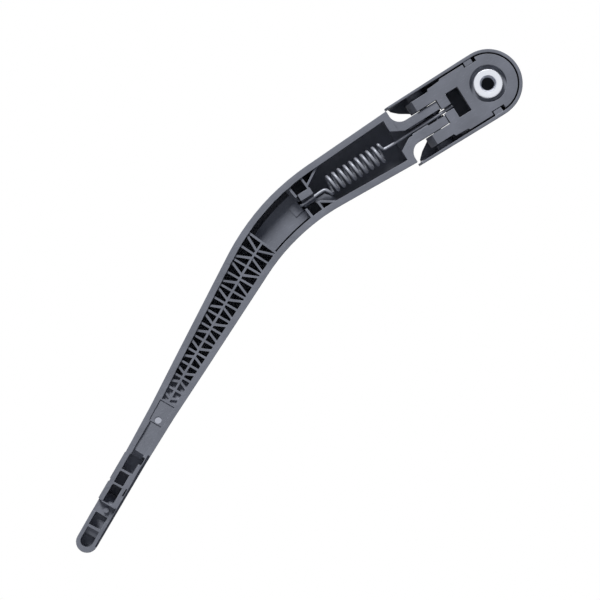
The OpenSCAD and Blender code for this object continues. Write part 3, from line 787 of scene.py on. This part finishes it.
class WIPER_OT_pins(bpy.types.Operator):
    """Dresses the hinge pins and the anchor pin in ground steel"""
    bl_idname = "wiper.pins"
    bl_label = "Pins"

    def execute(self, context):
        for node in ("hinge_pin_left", "hinge_pin_right", "anchor_pin"):
            piece = merged_copy(node, node.replace("pin", "stub"))
            only(piece)
            bpy.ops.object.shade_smooth_by_angle(angle=math.radians(30))
            dress(piece, once(ground_pin_steel), "pin_steel", "head", node)
        return {"FINISHED"}


class WIPER_OT_teeth(bpy.types.Operator):
    """Cuts the fine teeth of the spindle taper as a thin ring inside the insert"""
    bl_idname = "wiper.teeth"
    bl_label = "Taper teeth"

    def execute(self, context):
        teeth = context.scene.wiper_teeth
        skin = 0.05 * MM
        bpy.ops.object.select_all(action="DESELECT")
        bpy.ops.mesh.primitive_cone_add(
            vertices=2 * teeth.count, radius1=teeth.mouth + skin, radius2=teeth.inner + skin,
            depth=teeth.depth, end_fill_type="NOTHING", location=(0, 0, teeth.depth / 2))
        piece = context.active_object
        piece.name = "taper_teeth"
        bpy.ops.object.transform_apply(location=True, rotation=True, scale=True)
        apply_modifier(piece, "SOLIDIFY", thickness=2 * skin, offset=-1)
        # every second inner column of points moves in, which leaves a row of pointed teeth
        step = math.pi / teeth.count
        first = piece.data.vertices[0].co
        start = math.atan2(first.y, first.x)
        for vertex in piece.data.vertices:
            radius = Vector(vertex.co.xy).length
            share = vertex.co.z / teeth.depth
            wall = teeth.mouth + (teeth.inner - teeth.mouth) * share
            turn = round((math.atan2(vertex.co.y, vertex.co.x) - start) / step)
            if radius < wall and turn % 2:
                vertex.co.xy *= (radius - teeth.height) / radius
        only(piece)
        bpy.ops.object.mode_set(mode="EDIT")
        bpy.ops.mesh.select_all(action="SELECT")
        bpy.ops.mesh.normals_make_consistent(inside=False)
        bpy.ops.object.mode_set(mode="OBJECT")
        dress(piece, once(nickel_plated_steel), "insert_metal", "head")
        return {"FINISHED"}


# Directions of the photograph in the frame of the part
PICTURE_RIGHT = Vector((-0.848, -0.530, 0))
PICTURE_UP = Vector((-0.530, 0.848, 0))
PICTURE_CENTRE = Vector((126.2, -38.6, 0)) * MM
SENSOR = 36


def lamp(name, at, aim, size, power):
    """Adds one square lamp that faces a point."""
    bpy.ops.object.light_add(type="AREA", location=at)
    made = bpy.context.active_object
    made.name = name
    made.data.shape = "SQUARE"
    made.data.size = size
    made.data.energy = power
    made.rotation_euler = (aim - at).to_track_quat("-Z", "Y").to_euler()
    return made


class WIPER_OT_studio(bpy.types.Operator):
    """Adds the camera, the lamps, the pale floor and the white surroundings"""
    bl_idname = "wiper.studio"
    bl_label = "Studio"

    def execute(self, context):
        studio = context.scene.wiper_studio
        bpy.ops.object.select_all(action="DESELECT")
        away = Vector((0, 0, studio.distance))
        bpy.ops.object.camera_add(location=PICTURE_CENTRE - away)
        camera = context.active_object
        camera.name = "photo_camera"
        turn = Matrix((PICTURE_RIGHT, PICTURE_UP, Vector((0, 0, -1)))).transposed()
        camera.rotation_euler = turn.to_euler()
        camera.data.sensor_width = SENSOR
        camera.data.lens = SENSOR * studio.distance / studio.span
        camera.data.clip_start = 0.05
        camera.data.clip_end = 20
        context.scene.camera = camera
        # each side has a far key lamp from the top of the picture and a near fill lamp from its foot
        for side, height in (("glass", -0.53), ("top", 0.53)):
            up = Vector((0, 0, height))
            key_at = PICTURE_CENTRE + (PICTURE_UP * 0.85 - PICTURE_RIGHT * 0.25 + up) * 3
            fill_at = PICTURE_CENTRE - PICTURE_UP * 0.55 - PICTURE_RIGHT * 0.3 + up
            lamp(side + "_key", key_at, PICTURE_CENTRE, 0.9, studio.key)
            lamp(side + "_fill", fill_at, PICTURE_CENTRE, 0.6, studio.fill)
        bpy.ops.object.select_all(action="DESELECT")
        # the floor lies 0.8 mm below the lowest point of the part
        low = cad_box[0].z - 0.8 * MM
        bpy.ops.mesh.primitive_plane_add(size=4, location=(PICTURE_CENTRE.x, PICTURE_CENTRE.y, low))
        floor = context.active_object
        floor.name = "floor"
        # the floor is seen only from above, and takes no light from the glass side
        for ray in ("diffuse", "glossy", "transmission", "shadow"):
            setattr(floor, "visible_" + ray, False)
        material, tree = new_material("matt_paper")
        place = add_node(tree, "ShaderNodeTexCoord").outputs["Object"]
        fibre = add_node(tree, "ShaderNodeTexNoise", None, {"Scale": 1 / (4 * MM), "Detail": 3},
                         {"Vector": place})
        relief = add_node(tree, "ShaderNodeBump", None, {"Strength": 0.05, "Distance": 0.1 * MM},
                          {"Height": fibre.outputs["Fac"]})
        shader = add_node(tree, "ShaderNodeBsdfPrincipled", None,
                          {"Base Color": opaque(studio.paper), "Roughness": 0.9},
                          {"Normal": relief.outputs["Normal"]})
        under = add_node(tree, "ShaderNodeNewGeometry").outputs["Backfacing"]
        clear = add_node(tree, "ShaderNodeBsdfTransparent")
        either = add_node(tree, "ShaderNodeMixShader", None, None,
                          {0: under, 1: shader.outputs["BSDF"], 2: clear.outputs["BSDF"]})
        add_node(tree, "ShaderNodeOutputMaterial", None, None, {"Surface": either.outputs["Shader"]})
        floor.data.materials.append(material)
        world = bpy.data.worlds.new("white_surroundings")
        world.use_nodes = True
        tree = world.node_tree
        tree.nodes.clear()
        ray = add_node(tree, "ShaderNodeLightPath").outputs
        seen = add_node(tree, "ShaderNodeMath", {"operation": "MAXIMUM"}, None,
                        {0: ray["Is Camera Ray"], 1: ray["Is Glossy Ray"]})
        seen = add_node(tree, "ShaderNodeMath", {"operation": "MAXIMUM"}, None,
                        {0: seen.outputs[0], 1: ray["Is Transmission Ray"]})
        even = add_node(tree, "ShaderNodeBackground", None,
                        {"Color": opaque(studio.sky), "Strength": studio.ambient})
        white = add_node(tree, "ShaderNodeBackground", None, {"Color": (1, 1, 1, 1), "Strength": 1})
        both = add_node(tree, "ShaderNodeMixShader", None, None,
                        {0: seen.outputs[0], 1: even.outputs["Background"], 2: white.outputs["Background"]})
        add_node(tree, "ShaderNodeOutputWorld", None, None, {"Surface": both.outputs["Shader"]})
        context.scene.world = world
        context.scene.view_settings.view_transform = "Standard"
        return {"FINISHED"}


PIECE_OPERATORS = (WIPER_OT_arm, WIPER_OT_head, WIPER_OT_cover, WIPER_OT_insert, WIPER_OT_teeth,
                   WIPER_OT_spring, WIPER_OT_pins, WIPER_OT_studio)


class WIPER_PT_panel(bpy.types.Panel):
    """Lists the steps and the sizes of the wiper arm"""
    bl_idname = "WIPER_PT_panel"
    bl_label = "Wiper arm"
    bl_space_type = "VIEW_3D"
    bl_region_type = "UI"
    bl_category = "Wiper arm"

    def draw(self, context):
        for operator in PIECE_OPERATORS:
            self.layout.operator(operator.bl_idname)
        for group in (context.scene.wiper_finish, context.scene.wiper_teeth, context.scene.wiper_studio):
            for name in group.__annotations__:
                self.layout.prop(group, name)


CLASSES = (WiperFinish, WiperTeeth, WiperStudio, *PIECE_OPERATORS, WIPER_PT_panel)


def register():
    for each in CLASSES:
        bpy.utils.register_class(each)
    bpy.types.Scene.wiper_finish = bpy.props.PointerProperty(type=WiperFinish)
    bpy.types.Scene.wiper_teeth = bpy.props.PointerProperty(type=WiperTeeth)
    bpy.types.Scene.wiper_studio = bpy.props.PointerProperty(type=WiperStudio)


def unregister():
    del bpy.types.Scene.wiper_studio
    del bpy.types.Scene.wiper_teeth
    del bpy.types.Scene.wiper_finish
    for each in reversed(CLASSES):
        bpy.utils.unregister_class(each)


def main():
    register()
    bpy.ops.wiper.studio()
    bpy.ops.wiper.arm()
    bpy.ops.wiper.head()
    bpy.ops.wiper.cover()
    bpy.ops.wiper.insert()
    bpy.ops.wiper.teeth()
    bpy.ops.wiper.spring()
    bpy.ops.wiper.pins()


if __name__ == "__main__":
    main()
